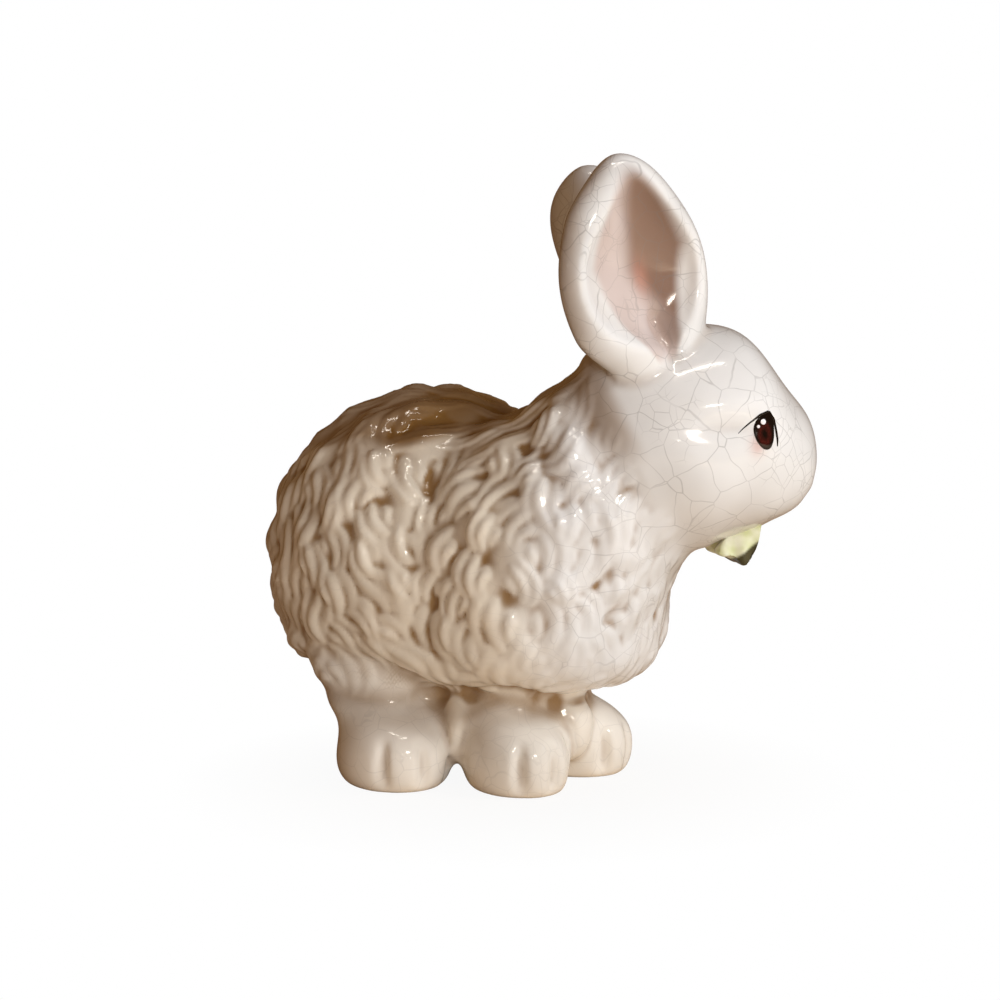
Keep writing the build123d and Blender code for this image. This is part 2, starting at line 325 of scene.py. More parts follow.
print("coat")
coat = {"spacing": 11.2, "sink": 1.6, "settle": 40, "voxel": 0.92, "glazePasses": 3, "barePasses": 12,
        "twist": 0.5, "seed": 21}
normals = readNormals(mesh)
body = points - np.array([trunk["x"], 0, 0])
isBody = np.isin(label, furLabels)
isHock = np.isin(label, rearLabels) & (points[:, 2] > hem["z"] - 1)
cover = (isBody | isHock).astype(float)
cover *= 1 - ramp(pastCollar(points), -9, -3)
cover *= ramp(points[:, 2], hem["z"], hem["z"] + 7)
calm = skinPiece.vertex_groups.new(name="calm")
for step in range(1, 11):
    calm.add(np.nonzero(np.round(cover * 10) == step)[0].tolist(), step / 10, "REPLACE")
ease = skinPiece.modifiers.new("Smooth", "SMOOTH")
ease.iterations = coat["settle"]
ease.vertex_group = "calm"
bake(skinPiece)
mesh = skinPiece.data
points = readPoints(mesh)
normals = readNormals(mesh)
body = points - np.array([trunk["x"], 0, 0])
across = np.where(body[:, 1] > 0, 1.0, -1.0)
topness = ramp(normals[:, 2], 0.45, 0.85)
parting = body[:, 0] - trunk["partingX"]
lean = np.where(parting < 0, -0.5, 0.5 * (1 - ramp(body[:, 0], -22, -10)))
lean = np.where(np.abs(parting) < 6, lean * np.abs(parting) / 6, lean)
lean = lean - 0.15 * ramp(body[:, 0], -12, 0)
flow = np.stack([lean * (1 - topness) - 1.0 * topness, 0.45 * across * topness, -np.ones(len(points))], 1)
flow = unit(flow - normals * np.sum(flow * normals, axis=1, keepdims=True))
wave = np.sin(body[:, 0] / 13 + body[:, 2] / 31) + 0.7 * np.sin(body[:, 2] / 11 - body[:, 0] / 23 + across)
onFlank = ramp(body[:, 0], -14, -6) * (1 - ramp(body[:, 0], 14, 26)) * (1 - ramp(body[:, 2], 96, 112))
wave = wave * (1 - topness) * (1 - 0.6 * onFlank) - 1.2 * across * onFlank
chest = ramp(body[:, 0], 14, 36)
nape = ramp(pastCollar(points), -30, -6)
lowness = 1 - ramp(points[:, 2], 46, 64)
size = np.stack([1 + 0.45 * topness - 0.1 * chest - 0.1 * nape,
                 1 - 0.5 * topness - 0.15 * chest - 0.1 * nape,
                 1 - 0.5 * topness - 0.4 * chest - 0.25 * nape - 0.3 * lowness], 1)
size = np.maximum(size, 0.4)
points = points - normals * (coat["sink"] * cover * size[:, 2])[:, None]
writePoints(mesh, points)
writeAttribute(mesh, "cover", cover)
writeAttribute(mesh, "flow", flow)
writeAttribute(mesh, "wave", wave)
writeAttribute(mesh, "size", size)


lock = {"length": 24.0, "strands": 3, "spacing": 5.7, "halfWidth": 2.6, "rise": 2.0, "height": 2.3,
        "pad": 1.2, "padHalfWidth": 9.2}


def lockMesh(name, bend, sway):  # strands that part at the root and meet at the tip
    work = bmesh.new()
    above = []
    count = lock["strands"]
    steps = 11
    t = np.linspace(0, 1, steps)
    heading = math.radians(bend) * (t - 0.5) + math.radians(sway) * np.sin(2 * math.pi * t)
    run = lock["length"] / (steps - 1)
    x = np.concatenate([[0], np.cumsum(np.cos(heading[:-1]) * run)]) - 0.42 * lock["length"]
    y = np.concatenate([[0], np.cumsum(np.sin(heading[:-1]) * run)])
    y = y - y.mean()
    for strand in range(count + 1):  # the last is the pad under the strands
        isPad = strand == count
        offset = 0 if isPad else strand - (count - 1) / 2
        crown = 1 - 0.2 * (2 * offset / (count - 1)) ** 2
        spread = offset * lock["spacing"] * (0.75 + 0.3 * np.sin(math.pi * t)) * (1 - 0.5 * t ** 3)
        stretch = 1 - 0.08 * abs(offset)
        swell = np.sin(math.pi * t ** 0.85) ** 0.7
        halfWidth = lock["padHalfWidth" if isPad else "halfWidth"] * (0.35 + 0.65 * swell)
        rise = lock["rise"] * (0.6 + 0.4 * swell)
        height = (lock["pad" if isPad else "height"] * crown + 1.0) * swell - 1.0 - rise
        rings = []
        for i in range(steps):
            aside = np.array([-math.sin(heading[i]), math.cos(heading[i]), 0])
            middle = np.array([x[i] * stretch, y[i] * stretch, height[i]]) + aside * spread[i]
            ring = []
            for corner in range(10):
                angle = corner * math.pi / 5
                upward = np.array([0, 0, math.sin(angle)])
                spot = middle + halfWidth[i] * aside * math.cos(angle) + rise[i] * upward
                ring.append(work.verts.new(spot * mm))
                above.append(spot[2] * mm)
            rings.append(ring)
        for first, second in zip(rings, rings[1:]):
            for corner in range(10):
                after = (corner + 1) % 10
                work.faces.new((first[corner], first[after], second[after], second[corner]))
        work.faces.new(rings[0][::-1])
        work.faces.new(rings[-1])
    bmesh.ops.recalc_face_normals(work, faces=work.faces)
    made = bpy.data.meshes.new(name)
    work.to_mesh(made)
    work.free()
    writeAttribute(made, "above", np.array(above))
    return made


lockGroup = bpy.data.collections.new("locks")
for number, (bend, sway) in enumerate([(-135, 0), (-95, 6), (-45, 18), (45, -18), (95, -6), (135, 0)]):
    lockGroup.objects.link(bpy.data.objects.new(f"lock{number}", lockMesh(f"lock{number}", bend, sway)))


def lockTree():
    tree = bpy.data.node_groups.new("FurLocks", "GeometryNodeTree")
    face = tree.interface
    face.new_socket("Geometry", in_out="INPUT", socket_type="NodeSocketGeometry")
    inputs = {"Spacing": "Float", "Twist": "Float", "Seed": "Int",
              "Locks": "Collection", "Material": "Material"}
    for name, kind in inputs.items():
        face.new_socket(name, in_out="INPUT", socket_type="NodeSocket" + kind)
    face.new_socket("Geometry", in_out="OUTPUT", socket_type="NodeSocketGeometry")
    start = addNode(tree, "NodeGroupInput").outputs
    named = {}
    kinds = {"cover": "FLOAT", "wave": "FLOAT", "above": "FLOAT",
             "flow": "FLOAT_VECTOR", "size": "FLOAT_VECTOR"}
    for name, kind in kinds.items():
        read = addNode(tree, "GeometryNodeInputNamedAttribute", {"Name": name}, data_type=kind)
        named[name] = read.outputs["Attribute"]
    spread = addNode(tree, "GeometryNodeDistributePointsOnFaces", {
        "Mesh": start["Geometry"], "Distance Min": start["Spacing"], "Density Max": 60000.0,
        "Density Factor": named["cover"], "Seed": start["Seed"]}, distribute_method="POISSON")
    twist = addNode(tree, "FunctionNodeRandomValue", {
        2: -1.0, 3: 1.0, "Seed": start["Seed"]}, data_type="FLOAT")
    angle = addNode(tree, "ShaderNodeMath", {0: twist.outputs[1], 1: start["Twist"]}, operation="MULTIPLY")
    heading = addNode(tree, "ShaderNodeVectorRotate", {
        "Vector": named["flow"], "Axis": spread.outputs["Normal"],
        "Angle": angle.outputs[0]}, rotation_type="AXIS_ANGLE")
    pose = addNode(tree, "FunctionNodeAxesToRotation", {
        "Primary Axis": spread.outputs["Normal"], "Secondary Axis": heading.outputs[0]},
        primary_axis="Z", secondary_axis="X")
    stray = addNode(tree, "FunctionNodeRandomValue", {2: -0.6, 3: 0.6, "Seed": 3}, data_type="FLOAT")
    curl = addNode(tree, "ShaderNodeMath", {0: named["wave"], 1: stray.outputs[1]}, operation="ADD")
    pick = addNode(tree, "ShaderNodeMapRange", {"Value": curl.outputs[0], 1: -2.0, 2: 2.0, 3: 0.0, 4: 5.99})
    grow = addNode(tree, "FunctionNodeRandomValue", {2: 0.82, 3: 1.2, "Seed": 5}, data_type="FLOAT")
    grown = addNode(tree, "ShaderNodeVectorMath", {
        0: named["size"], "Scale": grow.outputs[1]}, operation="SCALE")
    group = addNode(tree, "GeometryNodeCollectionInfo", {
        "Collection": start["Locks"], "Separate Children": True, "Reset Children": True})
    placed = addNode(tree, "GeometryNodeInstanceOnPoints", {
        "Points": spread.outputs["Points"], "Instance": group.outputs[0], "Pick Instance": True,
        "Instance Index": pick.outputs[0], "Rotation": pose.outputs[0], "Scale": grown.outputs[0]})
    real = addNode(tree, "GeometryNodeRealizeInstances", {"Geometry": placed.outputs[0]})
    under = addNode(tree, "GeometryNodeProximity", {"Geometry": start["Geometry"]}, target_element="FACES")
    facing = addNode(tree, "GeometryNodeInputNormal").outputs["Normal"]
    outward = addNode(tree, "GeometryNodeSampleNearestSurface", {
        "Mesh": start["Geometry"], "Value": facing}, data_type="FLOAT_VECTOR")
    rise = addNode(tree, "ShaderNodeSeparateXYZ", {0: named["size"]}).outputs["Z"]
    risen = addNode(tree, "ShaderNodeMath", {0: named["above"], 1: rise}, operation="MULTIPLY")
    offset = addNode(tree, "ShaderNodeVectorMath", {
        0: outward.outputs[0], "Scale": risen.outputs[0]}, operation="SCALE")
    spot = addNode(tree, "ShaderNodeVectorMath", {
        0: under.outputs["Position"], 1: offset.outputs[0]}, operation="ADD")
    laid = addNode(tree, "GeometryNodeSetPosition", {
        "Geometry": real.outputs[0], "Position": spot.outputs[0]})
    dressed = addNode(tree, "GeometryNodeSetMaterial", {
        "Geometry": laid.outputs[0], "Material": start["Material"]})
    addNode(tree, "NodeGroupOutput", {"Geometry": dressed.outputs[0]})
    return tree


def newMaterial(name):
    made = bpy.data.materials.new(name)
    made.use_nodes = True
    made.node_tree.nodes.clear()
    return made, made.node_tree


def mixed(tree, share, first, second):
    return addNode(tree, "ShaderNodeMix", {0: share, 6: first, 7: second}, data_type="RGBA").outputs[2]


def multiplied(tree, first, second):
    return addNode(tree, "ShaderNodeMath", {0: first, 1: second}, operation="MULTIPLY").outputs[0]


def ranged(tree, value, low, high, start=0.0, end=1.0):
    return addNode(tree, "ShaderNodeMapRange", {"Value": value, 1: low, 2: high, 3: start, 4: end}).outputs[0]


def painted(tree, name):  # a value that the mesh carries
    return addNode(tree, "ShaderNodeAttribute", attribute_name=name).outputs["Fac"]


def speckle(tree, place, size, detail=2.0):  # noise whose grains are size mm
    return addNode(tree, "ShaderNodeTexNoise", {
        "Vector": place, "Scale": 1 / (size * mm), "Detail": detail}).outputs


def crackLines(tree, place, cell, width):  # 1 on the lines between cells of this size, mm
    edge = addNode(tree, "ShaderNodeTexVoronoi", {
        "Vector": place, "Scale": 1 / (cell * mm)}, feature="DISTANCE_TO_EDGE")
    return ranged(tree, edge.outputs["Distance"], 0.35 * width / cell, width / cell, 1.0, 0.0)


def finished(tree, base, bump, roughness, depth):
    shade = addNode(tree, "ShaderNodeBsdfPrincipled", {
        "Base Color": base, "Roughness": roughness, "IOR": 1.52, "Coat Weight": 0.3, "Coat Roughness": 0.03})
    relief = addNode(tree, "ShaderNodeBump", {"Height": bump, "Distance": depth * mm, "Strength": 0.5})
    tree.links.new(relief.outputs[0], shade.inputs["Normal"])
    addNode(tree, "ShaderNodeOutputMaterial", {"Surface": shade.outputs[0]})


# the brown colour stands for glaze pooled in the coat's hollows and for painted shade; earShade is painted
# shade in the ear hollows
glazeLook = {"ivory": "ece8e1", "grey": "dfdbd4", "cream": "fff5e4", "pooledGlazeAndShade": "8a6434", "blush": "cf8f78",
             "earShade": "7e6655", "crack": "7d746c", "wander": 4.5,
             "crackCell": 11.0, "fineCell": 6.0, "crackWidth": 0.2, "crackShare": 0.42}  # sizes in mm


def glazeMaterial():
    made, tree = newMaterial("ivory earthenware, crazed gloss glaze")
    place = addNode(tree, "ShaderNodeTexCoord").outputs["Object"]
    warp = speckle(tree, place, 14.0)["Color"]
    wander = (glazeLook["wander"] * mm,) * 3
    bent = addNode(tree, "ShaderNodeVectorMath", {
        0: warp, 1: wander, 2: place}, operation="MULTIPLY_ADD").outputs[0]
    coarse = crackLines(tree, bent, glazeLook["crackCell"], glazeLook["crackWidth"])
    fine = crackLines(tree, bent, glazeLook["fineCell"], 0.7 * glazeLook["crackWidth"])
    patches = ranged(tree, speckle(tree, place, 24.0)["Fac"], 0.47, 0.58)
    fine = multiplied(tree, fine, patches)
    lines = addNode(tree, "ShaderNodeMath", {0: coarse, 1: fine}, operation="MAXIMUM").outputs[0]
    lines = multiplied(tree, lines, ranged(tree, speckle(tree, place, 9.0)["Fac"], 0.3, 0.62, 0.25, 0.85))
    lines = multiplied(tree, multiplied(tree, lines, painted(tree, "crazed")), glazeLook["crackShare"])
    clouds = ranged(tree, speckle(tree, place, 30.0)["Fac"], 0.35, 0.7)
    base = mixed(tree, clouds, colour(glazeLook["ivory"]), colour(glazeLook["grey"]))
    cream = addNode(tree, "ShaderNodeMix", {
        0: painted(tree, "warm"), 6: base, 7: colour(glazeLook["cream"])},
        data_type="RGBA", blend_type="MULTIPLY")
    # darker brown where glaze pools in hollows and where shade is painted
    base = mixed(tree, painted(tree, "pooledGlazeAndShade"), cream.outputs[2], colour(glazeLook["pooledGlazeAndShade"]))
    base = mixed(tree, painted(tree, "shade"), base, colour(glazeLook["earShade"]))
    base = mixed(tree, painted(tree, "blush"), base, colour(glazeLook["blush"]))
    base = mixed(tree, lines, base, colour(glazeLook["crack"]))
    finished(tree, base, speckle(tree, place, 5.0)["Fac"], 0.14, 0.05)
    return made


leafLook = {"pale": "e8e6c8", "green": "cfd19a", "olive": "3f3a20"}


def leafMaterial():
    made, tree = newMaterial("painted leaf, gloss glaze")
    place = addNode(tree, "ShaderNodeTexCoord").outputs["Object"]
    clouds = ranged(tree, speckle(tree, place, 6.0)["Fac"], 0.35, 0.65)
    base = mixed(tree, clouds, colour(leafLook["pale"]), colour(leafLook["green"]))
    base = mixed(tree, painted(tree, "tip"), base, colour(leafLook["olive"]))
    finished(tree, base, speckle(tree, place, 3.0)["Fac"], 0.16, 0.1)
    return made


eyeLook = {"black": "0d0808", "iris": "4a1713", "white": "f4f0ec"}


def eyeMaterial():
    made, tree = newMaterial("brushed eye enamel, gloss")
    place = addNode(tree, "ShaderNodeTexCoord").outputs["Object"]
    streaks = ranged(tree, speckle(tree, place, 1.2)["Fac"], 0.3, 0.7, 0.4, 1.0)
    iris = multiplied(tree, painted(tree, "iris"), streaks)
    base = mixed(tree, iris, colour(eyeLook["black"]), colour(eyeLook["iris"]))
    base = mixed(tree, painted(tree, "glint"), base, colour(eyeLook["white"]))
    finished(tree, base, speckle(tree, place, 1.5)["Fac"], 0.1, 0.02)
    return made


def dress(piece, material, slot, *stoodFor):
    piece.data.materials.clear()
    piece.data.materials.append(material)
    for polygon in piece.data.polygons:
        polygon.use_smooth = True
    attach(piece, "root")
    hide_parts(*stoodFor)


glaze = glazeMaterial()
coatPiece = addObject("coat", mesh.copy())
growth = coatPiece.modifiers.new("FurLocks", "NODES")
growth.node_group = lockTree()
wanted = {"Spacing": coat["spacing"] * mm, "Twist": coat["twist"], "Seed": coat["seed"],
          "Locks": lockGroup, "Material": glaze}
for item in growth.node_group.interface.items_tree:
    if item.in_out == "INPUT" and item.name in wanted:
        growth[item.identifier] = wanted[item.name]
bake(coatPiece)
print("locks", len(coatPiece.data.polygons))

figure = addObject("figure", joined("figure", [skinPiece.data, coatPiece.data]))
figure.modifiers.new("Remesh", "REMESH").voxel_size = coat["voxel"] * mm
figure.modifiers.new("Smooth", "SMOOTH").iterations = coat["glazePasses"]
bake(figure)
points = readPoints(figure.data)
label = nearestCasting(points)
hairy = np.isin(label, furLabels) | (np.isin(label, rearLabels) & (points[:, 2] > hem["z"] - 2))
figure.vertex_groups.new(name="bare").add(np.nonzero(~hairy)[0].tolist(), 1.0, "REPLACE")
settle = figure.modifiers.new("Smooth", "SMOOTH")
settle.iterations = coat["barePasses"]
settle.vertex_group = "bare"
bake(figure)
for old in (skinPiece, coatPiece):
    bpy.data.objects.remove(old)
print("figure", len(figure.data.polygons))


print("paint")
eye = {"up": 4.3, "back": 2.3, "scale": 1.1, "facing": 74.0, "lift": 0.35,
       "irisWidth": 2.5, "irisHeight": 4.0,
       "pinkPlace": (-2.9, -4.6), "pinkReach": (2.6, 3.4), "pinkShare": 0.5}
# the first eight shares below are painted shade: a dark band over the top of the back, where the head and
# ears keep the light off, and darker patches on the loins, nape, rump, hem, paw creases, the ears' outer
# edges and the ear hollows
backShadeForm = {"z": 119.5, "shoulderRise": 20, "rumpFall": 6, "ripple": 1.5, "rippleLength": 4.1}  # mm
shares = {"backShade": 0.62, "loin": 0.3, "nape": 0.5, "rump": 0.45, "joint": 0.5, "crease": 0.5, "earEdge": 0.5,
          "hollow": 0.28, "hollowPink": 0.22, "pinkSpot": 0.4, "pawWarmth": 0.6, "pawCrazing": 0.4}
pawTop = 60.0  # mm, above every paw and under the head
mesh = figure.data
ends = neighbours(mesh)
points = readPoints(mesh)
normals = readNormals(mesh)
label = np.argmax(averaged(np.eye(len(castings))[label], ends, 6), axis=1)
sunk = -np.sum((points - averaged(points, ends, 26)) * normals, axis=1)
isBody = np.isin(label, furLabels)
body = points - np.array([trunk["x"], 0, 0])
# painted shade over the back above this wavy line, stronger over the loins
topline = backShadeForm["z"] + backShadeForm["shoulderRise"] * ramp(body[:, 0], -25, 30)
topline -= backShadeForm["rumpFall"] * ramp(-body[:, 0], 50, 85)
topline += backShadeForm["ripple"] * np.sin(body[:, 0] / backShadeForm["rippleLength"])
backShade = isBody * ramp(points[:, 2] - topline, -1.5, 4) * (1 - ramp(pastCollar(points), -8, 4))
loin = ramp(-body[:, 0], 5, 25) * (1 - ramp(-body[:, 0], 30, 55))
backShade *= shares["backShade"] + shares["loin"] * loin
# painted shade on the rump, and on the nape behind the head
rump = isBody * ramp(-body[:, 0], 62, 95)
nape = ramp(pastCollar(points), -16, -6) * (1 - ramp(pastCollar(points), 0, 6))
nape *= ramp(points[:, 2], 112, 128)
furShare = averaged(isBody[:, None].astype(float), ends, 24)[:, 0]
# painted shade in the crease over the rear paws and where the coat meets the paws
crease = np.isin(label, rearLabels) * np.exp(-((points[:, 2] - hem["z"] + 1) / 3.2) ** 2)
joint = 4 * furShare * (1 - furShare) * (1 - ramp(points[:, 2], 38, 48)) * ramp(points[:, 2], 20, 27)
# darker in the coat's hollows: partly glaze pooled there, partly painted shade
pooledGlazeAndShade = ramp(sunk, 0.0, 0.7) * (0.3 + 0.6 * furShare) + 0.04 * furShare
crease = averaged(crease[:, None], ends, 6)[:, 0]
# the strongest painted shade at each point, laid over the glaze pooled in hollows
broadShade = np.maximum.reduce([backShade, shares["nape"] * nape, shares["rump"] * rump,
                             shares["joint"] * joint, shares["crease"] * crease])
paint = {"pooledGlazeAndShade": np.clip(np.maximum(pooledGlazeAndShade, broadShade + 0.3 * pooledGlazeAndShade), 0, 1)}
bareChest = ramp(body[:, 0], 8, 38)
isLow = points[:, 2] < pawTop
warmth = np.where(isBody, 1 - bareChest, shares["pawWarmth"] * isLow)
paint["warm"] = averaged(warmth[:, None], ends, 24)[:, 0]
crazing = np.where(isLow, shares["pawCrazing"], 1.0)
paint["crazed"] = np.where(isBody, 0.2 + 0.5 * ramp(body[:, 0], 10, 40), crazing)
blush = np.zeros(len(points))
shade = np.zeros(len(points))
for sign, name in ((-1, "right_ear"), (1, "left_ear")):
    spot = inEar(points, sign)
    opening = ((normals @ headTurn) * np.array([1, -sign, 1])) @ earTurn
    isEar = label == labelOf[name]
    hollowWidth = np.interp(spot[:, 2], [4, 20, 40, 66], [4, 12.5, 19, 11])  # half of it, mm up the ear
    inside = np.hypot((spot[:, 1] + 0.5) / hollowWidth, np.maximum(spot[:, 2] - 40, 0) / 30)
    hollow = isEar * (1 - ramp(inside, 0.8, 1.08)) * ramp(opening[:, 0], -0.2, 0.2) * ramp(spot[:, 2], 2, 8)
    spotted = np.exp(-((spot[:, 1] - 1) / 3) ** 2 - ((spot[:, 2] - 32) / 6) ** 2)
    shaded = ramp(spot[:, 1] + 3 - 9 * (1 - ramp(spot[:, 2], 16, 38)), -6, 5)
    blush += hollow * (shares["hollowPink"] * (1 - 0.6 * shaded) + shares["pinkSpot"] * spotted)
    shade += hollow * (shares["hollow"] + (1 - shares["hollow"]) * shaded)
    # painted shade on the outer edge of each ear
    outer = isEar * ramp(-opening[:, 1], 0.3, 0.95) * ramp(spot[:, 2], 8, 24)
    paint["pooledGlazeAndShade"] = np.maximum(paint["pooledGlazeAndShade"], shares["earEdge"] * outer)
paint["shade"] = shade
local = inHead(points)
eyeAngle = math.radians(eye["facing"])
for sign in (-1, 1):
    noseward = np.array([math.sin(eyeAngle), -sign * math.cos(eyeAngle), 0])
    a, b = local @ noseward, local[:, 2] - eye["up"]
    spotA = (a + eye["back"] - eye["pinkPlace"][0]) / eye["pinkReach"][0]
    spotB = (b - eye["pinkPlace"][1]) / eye["pinkReach"][1]
    blush += eye["pinkShare"] * np.exp(-spotA * spotA - spotB * spotB) * (sign * local[:, 1] > 10)
paint["blush"] = np.clip(blush, 0, 1)

print("split")
corner = np.empty(len(mesh.loops), dtype=np.int64)
mesh.loops.foreach_get("vertex_index", corner)
quads = corner.reshape(-1, 4)
quadLabel = label[quads[:, 0]]
skirt = 2.0  # mm that a joint reaches under the glaze
pieces = {}
for k, name in enumerate(castings):
    own = quads[quadLabel == k]
    used, renumbered = np.unique(own, return_inverse=True)
    part = bpy.data.meshes.new(name)
    source = dict(enumerate(used))
    part.from_pydata((points[used] * mm).tolist(), [], renumbered.reshape(-1, 4).tolist())
    work = bmesh.new()
    work.from_mesh(part)
    rim = [e for e in work.edges if e.is_boundary]
    made = bmesh.ops.extrude_edge_only(work, edges=rim)["geom"]
    work.verts.index_update()
    for vertex in (v for v in made if isinstance(v, bmesh.types.BMVert)):
        above = min(e.other_vert(vertex).index for e in vertex.link_edges)
        vertex.co -= Vector(normals[used[above]]) * skirt * mm
        source[vertex.index] = used[above]
    closing = bmesh.ops.holes_fill(work, edges=[e for e in work.edges if e.is_boundary], sides=0)["faces"]
    bmesh.ops.triangulate(work, faces=closing)
    work.to_mesh(part)
    work.free()
    source = np.array([source[i] for i in range(len(part.vertices))])
    for key, values in paint.items():
        writeAttribute(part, key, values[source])
    pieces[name] = addObject(name + "_glazed", part)
    dress(pieces[name], glaze, "ivory_crackle_glaze", name)
    part.normals_split_custom_set_from_vertices(normals[source].tolist())
    print(name, sum(len(face.vertices) - 2 for face in part.polygons))
bpy.data.objects.remove(figure)

print("eyes")
almond = [(1.6, 6.0), (-1.2, 4.9), (-3.0, 2.8), (-3.6, 0.2), (-3.0, -2.5), (-1.4, -4.7), (0.3, -5.5),
          (1.8, -4.8), (2.8, -2.5), (3.2, 0.2), (3.1, 3.0), (2.7, 5.2)]  # mm toward the nose, and up
lidStrokes = [
    [(1.6, 6.0, 0.5), (-1.4, 5.0, 0.5), (-4.6, 2.7, 0.34), (-6.6, 1.1, 0.22), (-8.4, -0.5, 0.1)],
    [(1.8, 6.0, 0.45), (3.4, 3.6, 0.62), (4.0, 0.4, 0.55), (4.3, -2.4, 0.5), (4.2, -4.6, 0.2)],
]
whiteDots = [(-0.6, 2.9, 0.85), (-2.2, 1.5, 0.5)]


def rounded(outline, count):  # even points on a smooth closed curve
    ring = np.array(outline)
    made = []
    for step in range(count):
        at = step * len(ring) / count
        i, t = int(at), at % 1
        p0, p1, p2, p3 = (ring[(i + k) % len(ring)] for k in (-1, 0, 1, 2))
        square, cube = 2 * p0 - 5 * p1 + 4 * p2 - p3, 3 * p1 - p0 - 3 * p2 + p3
        made.append(0.5 * (2 * p1 + (p2 - p0) * t + square * t * t + cube * t ** 3))
    return np.array(made)


enamel = eyeMaterial()


def eyePiece(side, name):
    graph = bmesh.new()
    graph.from_mesh(pieces["head_casting"].data)
    face = BVHTree.FromBMesh(graph)
    graph.free()
    outward = headTurn @ np.array([math.cos(eyeAngle), side * math.sin(eyeAngle), 0])
    noseward = headTurn @ np.array([math.sin(eyeAngle), -side * math.cos(eyeAngle), 0])
    work = bmesh.new()
    tones = []

    def corner(a, b, lift, iris=0.0, glint=0.0):
        across, upward = eye["scale"] * a - eye["back"], eye["scale"] * b + eye["up"]
        start = headMiddle + noseward * across + np.array([0, 0, upward]) + outward * 60
        hit = np.array(face.ray_cast(Vector(start * mm), Vector(-outward))[0]) / mm
        tones.append((iris, glint))
        return work.verts.new((hit + outward * lift) * mm)

    def lens(outline, middle, lift, glint, low):
        rings = []
        for share in (0.12, 0.3, 0.5, 0.66, 0.8, 0.9, 0.97, 1.0):
            ring = []
            for a, b in middle + (outline - middle) * share:
                inIris = np.array(math.hypot((a + 0.3) / eye["irisWidth"], (b + 0.7) / eye["irisHeight"]))
                iris = (1 - glint) * float((1 - ramp(inIris, 0.7, 1.05)) * ramp(inIris, 0.2, 0.6))
                ring.append(corner(a, b, low + lift * math.sqrt(1 - 0.97 * share * share), iris, glint))
            rings.append(ring)
        rings.append([corner(a, b, -0.7, 0, glint) for a, b in outline])
        for first, second in zip(rings, rings[1:]):
            for i in range(len(outline)):
                j = (i + 1) % len(outline)
                work.faces.new((first[i], first[j], second[j], second[i]))
        work.faces.new(rings[0])
        work.faces.new(rings[-1])

    lens(rounded(almond, 44), np.array([0.0, 0.0]), eye["lift"], 0.0, 0.1)
    for a, b, radius in whiteDots:
        turns = [k * math.pi / 8 for k in range(16)]
        disc = [(a + radius * math.cos(turn), b + radius * math.sin(turn)) for turn in turns]
        lens(np.array(disc), np.array([a, b]), 0.18, 1.0, eye["lift"] + 0.06)
    for stroke in lidStrokes:
        rings = []
        line = np.array(stroke)
        for i in range(33):
            at = i / 32 * (len(line) - 1)
            k = min(int(at), len(line) - 2)
            a, b, wide = line[k] + (line[k + 1] - line[k]) * (at - k)
            ahead = unit((line[k + 1] - line[k])[:2])
            ring = []
            brushed = ((-wide, -0.5), (-0.6 * wide, 0.2), (0.0, 0.28), (0.6 * wide, 0.2), (wide, -0.5))
            for aside, lift in brushed:
                ring.append(corner(a - ahead[1] * aside, b + ahead[0] * aside, lift))
            rings.append(ring)
        for first, second in zip(rings, rings[1:]):
            for i in range(5):
                j = (i + 1) % 5
                work.faces.new((first[i], first[j], second[j], second[i]))
        work.faces.new(rings[0])
        work.faces.new(rings[-1])
    bmesh.ops.recalc_face_normals(work, faces=work.faces)
    part = bpy.data.meshes.new(name)
    work.to_mesh(part)
    work.free()
    tones = np.array(tones)
    writeAttribute(part, "iris", tones[:, 0])
    writeAttribute(part, "glint", tones[:, 1])
    piece = addObject(name + "_enamel", part)
    dress(piece, enamel, "dark_eye_enamel", name)


eyePiece(-1, "right_eye")
eyePiece(1, "left_eye")

print("leaf")
leafForm = {"voxel": 0.55, "ruffle": 0.7, "ruffleLength": 7.0, "tipZ": -43.8, "tipSlope": 0.73,
            "folded": (0.72, 0.75, 1.0), "ahead": 1.4,
            "bendZ": -30, "bentShare": 0.9, "lowZ": -43, "drawnUp": 1.3}
leafPiece = addObject("leaf_glazed", nodes["leaf"].data.copy())
leafPiece.modifiers.new("Remesh", "REMESH").voxel_size = leafForm["voxel"] * mm
leafPiece.modifiers.new("Smooth", "SMOOTH").iterations = 6
bake(leafPiece)
mesh = leafPiece.data
local = inHead(readPoints(mesh)) * leafForm["folded"] + (leafForm["ahead"], 0, 0)  # smaller than it was cast
past = np.minimum(local[:, 2] - leafForm["bendZ"], 0)
height = local[:, 2] - (1 - leafForm["bentShare"]) * past
local[:, 2] = leafForm["lowZ"] + leafForm["drawnUp"] * (height - leafForm["lowZ"])
points = local @ headTurn.T + headMiddle
writePoints(mesh, points)
wavy = np.sin(2 * math.pi * (local[:, 0] + 0.6 * local[:, 1]) / leafForm["ruffleLength"])
hanging = ramp(-local[:, 2], 30, 40)
points = points + readNormals(mesh) * (leafForm["ruffle"] * (wavy - 0.6) * hanging)[:, None]
writePoints(mesh, points)
tipEdge = leafForm["tipZ"] + leafForm["tipSlope"] * local[:, 0]
writeAttribute(mesh, "tip", 1 - ramp(local[:, 2], tipEdge - 0.7, tipEdge + 0.7))
dress(leafPiece, leafMaterial(), "green_leaf_glaze", "leaf")

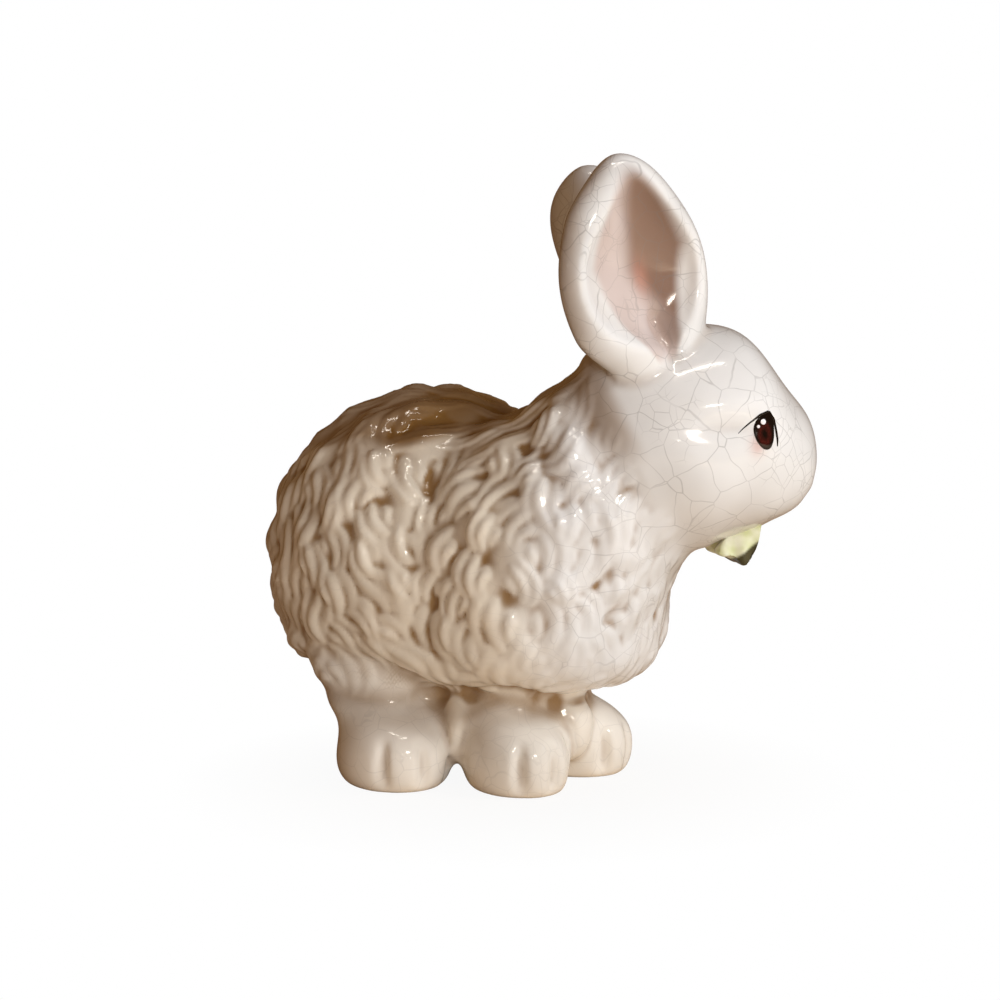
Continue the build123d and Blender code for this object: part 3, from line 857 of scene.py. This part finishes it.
print("stage")
shot = {"azimuth": 35.0, "elevation": 5.0, "distance": 700.0, "lens": 71.2, "shiftX": -0.041,
        "aim": (11.1, 0.0, 100.2)}
a, e = math.radians(shot["azimuth"]), math.radians(shot["elevation"])
toCamera = Vector((math.sin(a) * math.cos(e), -math.cos(a) * math.cos(e), math.sin(e)))
camera = bpy.data.cameras.new("camera")
camera.lens = shot["lens"]
camera.sensor_width = 36
camera.shift_x = shot["shiftX"]
camera.clip_start = 0.01
cameraPiece = bpy.data.objects.new("camera", camera)
scene.collection.objects.link(cameraPiece)
cameraPiece.location = (Vector(shot["aim"]) + toCamera * shot["distance"]) * mm
cameraPiece.rotation_euler = toCamera.to_track_quat("Z", "Y").to_euler()
scene.camera = cameraPiece

lamps = {  # way from the figurine, distance m, width and height m, power W, colour, seen in the glaze alone
    "window": ((0.86, -0.51, 0.05), 1.3, (0.9, 0.16), 10.6, "ebf4ff", False),
    "skylight": ((0.88, 0.22, 0.52), 1.3, (0.5, 0.3), 10.2, "ebf4ff", False),
    "lowFill": ((0.1, -1.0, 0.0), 1.3, (0.3, 0.12), 0.8, "fff1e0", False),
    "ceilingStrip": ((0.32, -0.16, 0.9), 1.1, (0.5, 0.03), 1.2, "fff6ea", True),
    "ceilingPanel": ((0.05, -0.25, 1.0), 1.1, (0.22, 0.04), 0.7, "fff6ea", True),
    "frontPanel": ((0.8, -0.52, 0.33), 1.1, (0.2, 0.07), 2.0, "fff6ea", True),
    "nearLamp": ((0.66, -0.74, 0.2), 1.0, (0.03, 0.03), 0.06, "fff6ea", True),
}
for name, (way, distance, (wide, high), power, tint, seen) in lamps.items():
    lamp = bpy.data.lights.new(name, "AREA")
    lamp.shape = "RECTANGLE"
    lamp.size, lamp.size_y = wide, high
    lamp.energy = power
    lamp.color = colour(tint)[:3]
    lampPiece = bpy.data.objects.new(name, lamp)
    scene.collection.objects.link(lampPiece)
    lampPiece.location = Vector((0.02, 0.0, 0.11)) + Vector(way).normalized() * distance
    lampPiece.rotation_euler = Vector(way).to_track_quat("Z", "Y").to_euler()
    lampPiece.visible_glossy = seen
    lampPiece.visible_diffuse = not seen

room = {"walls": "694926", "wallStrength": 1.0, "floor": "e8d0ae",
        "shadow": 0.07, "shadowReach": (35.0, 125.0)}
world = bpy.data.worlds.new("room")
scene.world = world
world.use_nodes = True
tree = world.node_tree
tree.nodes.clear()
seenRay = addNode(tree, "ShaderNodeLightPath").outputs["Is Camera Ray"]
warmRoom = addNode(tree, "ShaderNodeBackground", {
    "Color": colour(room["walls"]), "Strength": room["wallStrength"]})
whiteRoom = addNode(tree, "ShaderNodeBackground", {"Color": (1, 1, 1, 1), "Strength": 1.0})
sky = addNode(tree, "ShaderNodeMixShader", {0: seenRay, 1: warmRoom.outputs[0], 2: whiteRoom.outputs[0]})
addNode(tree, "ShaderNodeOutputWorld", {"Surface": sky.outputs[0]})

paper, tree = newMaterial("white paper sweep, matt")
seenRay = addNode(tree, "ShaderNodeLightPath").outputs["Is Camera Ray"]
matt = addNode(tree, "ShaderNodeBsdfDiffuse", {"Color": colour(room["floor"])})
white = addNode(tree, "ShaderNodeEmission", {"Color": (1, 1, 1, 1), "Strength": 1.0})
place = addNode(tree, "ShaderNodeTexCoord").outputs["Object"]
away = addNode(tree, "ShaderNodeVectorMath", {0: place}, operation="LENGTH").outputs["Value"]
share = ranged(tree, away, room["shadowReach"][0] * mm, room["shadowReach"][1] * mm, room["shadow"], 0.0)
near = addNode(tree, "ShaderNodeMixShader", {0: share, 1: white.outputs[0], 2: matt.outputs[0]})
sheet = addNode(tree, "ShaderNodeMixShader", {0: seenRay, 1: matt.outputs[0], 2: near.outputs[0]})
addNode(tree, "ShaderNodeOutputMaterial", {"Surface": sheet.outputs[0]})
floorMesh = bpy.data.meshes.new("floor")
floorMesh.from_pydata([(-4, -4, 0), (4, -4, 0), (4, 4, 0), (-4, 4, 0)], [], [(0, 1, 2, 3)])
floorMesh.materials.append(paper)
addObject("floor", floorMesh)

scene.view_settings.view_transform = "Standard"
